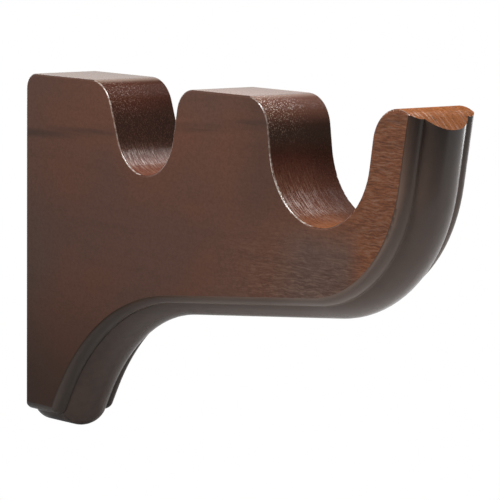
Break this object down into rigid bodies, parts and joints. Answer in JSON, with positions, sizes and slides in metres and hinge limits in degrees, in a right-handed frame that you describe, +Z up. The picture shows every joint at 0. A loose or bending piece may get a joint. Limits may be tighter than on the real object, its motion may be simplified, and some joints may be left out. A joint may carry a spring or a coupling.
{
  "type": "curtain pole bracket",
  "caption": "Double curtain pole bracket of dark stained wood: a wall-fixed board with a small and a large rounded notch for the poles, an upturned arm and a moulded bead along its lower edge.",
  "frame": {"origin": "centre of the wall face, midway between the two fixing holes", "axes": "+X out from the wall along the arm, Y along the poles, +Z up"},
  "size_m": [0.2368, 0.0294, 0.1387],
  "materials": {
    "stained_wood": "dark walnut stain under satin lacquer"
  },
  "bodies": {
    "root": {"bracket": "stained_wood"}
  },
  "joints": []
}
